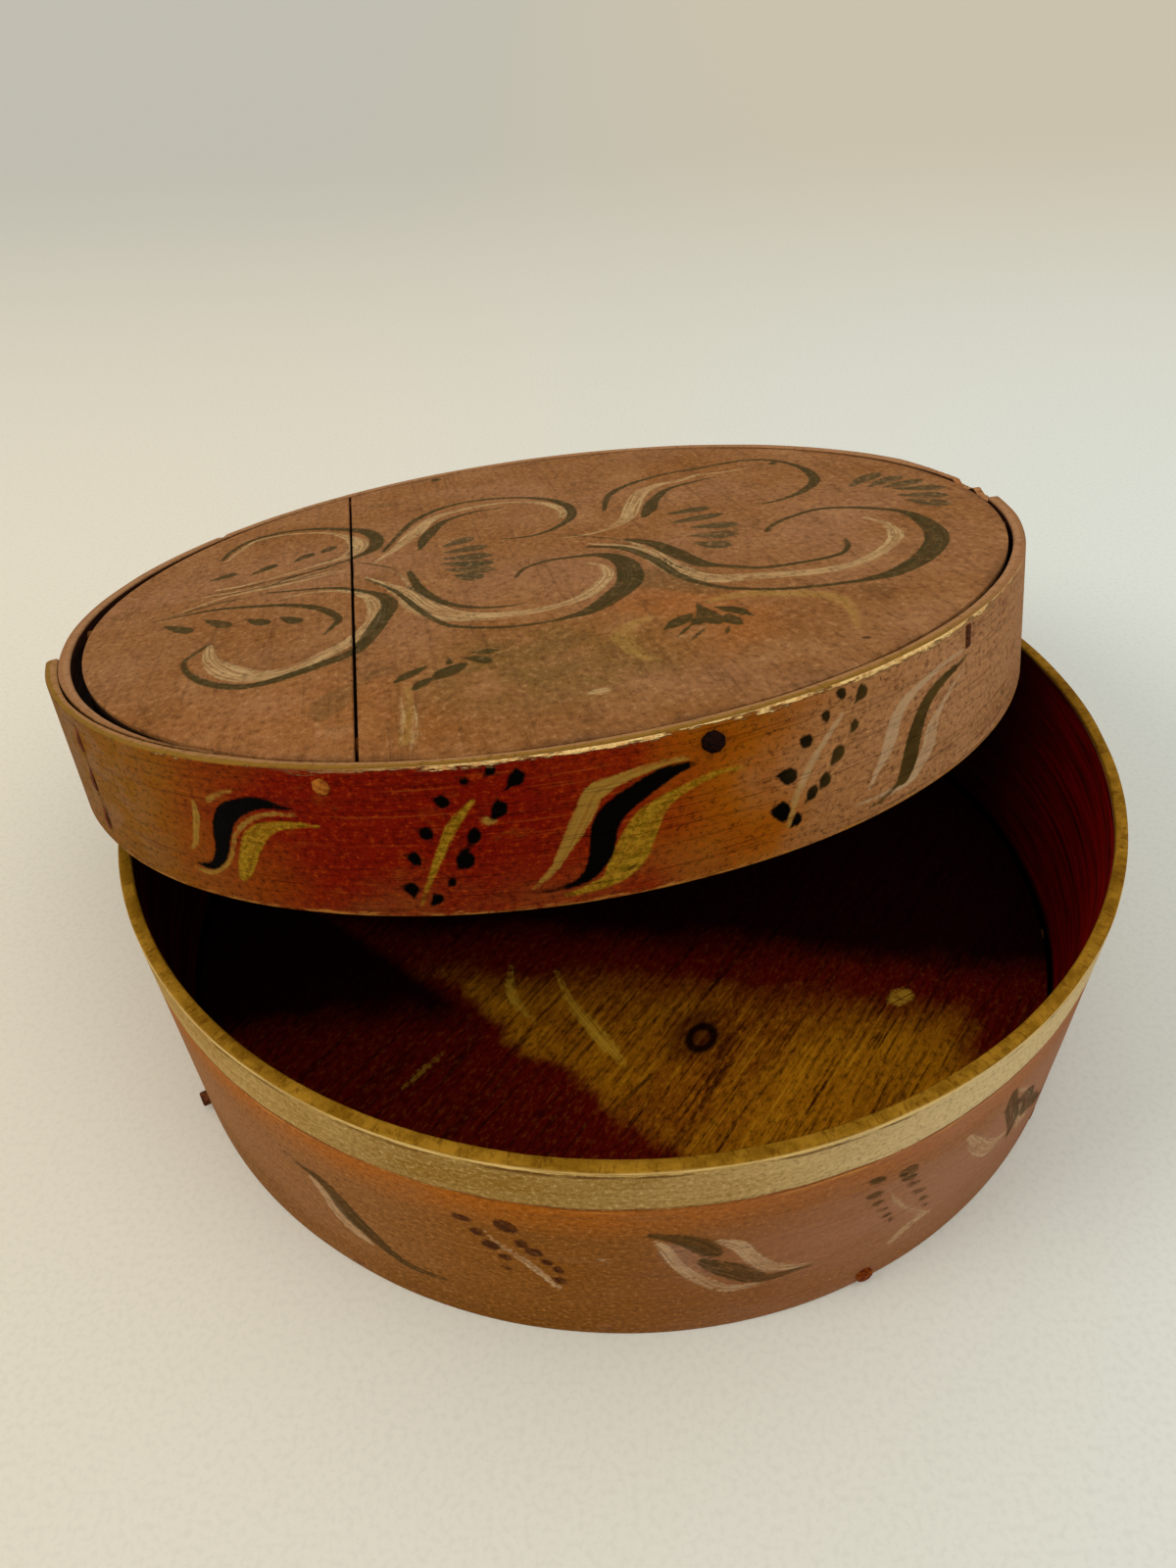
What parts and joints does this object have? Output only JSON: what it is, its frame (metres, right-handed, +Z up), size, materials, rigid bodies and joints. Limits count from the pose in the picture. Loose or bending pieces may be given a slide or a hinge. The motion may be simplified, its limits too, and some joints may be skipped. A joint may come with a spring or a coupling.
{
  "type": "bentwood box",
  "caption": "Round lidded box of bent and laced wooden bands with pegged boards, the painted lift-off lid lying ajar over its back.",
  "frame": {"origin": "the middle of the box's underside, on the surface that it stands on", "axes": "+Z up, -Y towards the side where the opening shows, the lid lying back over the +Y side"},
  "size_m": [0.3321, 0.3679, 0.148],
  "materials": {
    "painted_wall": "worn matte red-brown paint with an ochre band under the rim",
    "painted_rim": "worn matte orange-red paint with scroll ornament",
    "painted_boards": "faded terracotta paint with scroll ornament",
    "inside_wood": "bare darkened softwood",
    "painted_pegs": "painted over, matte",
    "dark_pegs": "darkened wood, matte",
    "pale_peg": "worn wood, matte",
    "root": "dark split root, matte"
  },
  "bodies": {
    "box": {"box_band": "painted_wall", "box_floor": "inside_wood", "box_lap_lacing": "root", "box_pegs": "painted_pegs", "box_peg_left": "dark_pegs", "box_peg_front": "painted_pegs"},
    "lid": {"lid_band": "painted_rim", "lid_board_large": "painted_boards", "lid_board_small": "painted_boards", "lid_lap_lacing": "root", "lid_pegs": "painted_pegs", "lid_peg_pale": "pale_peg", "lid_peg_dark": "dark_pegs", "lid_peg_flat": "painted_pegs"}
  },
  "joints": [
    {"name": "lid_lift", "type": "slide", "parent": "box", "child": "lid", "axis": [0, 0, 1], "range_m": [0, 0.12]}
  ]
}
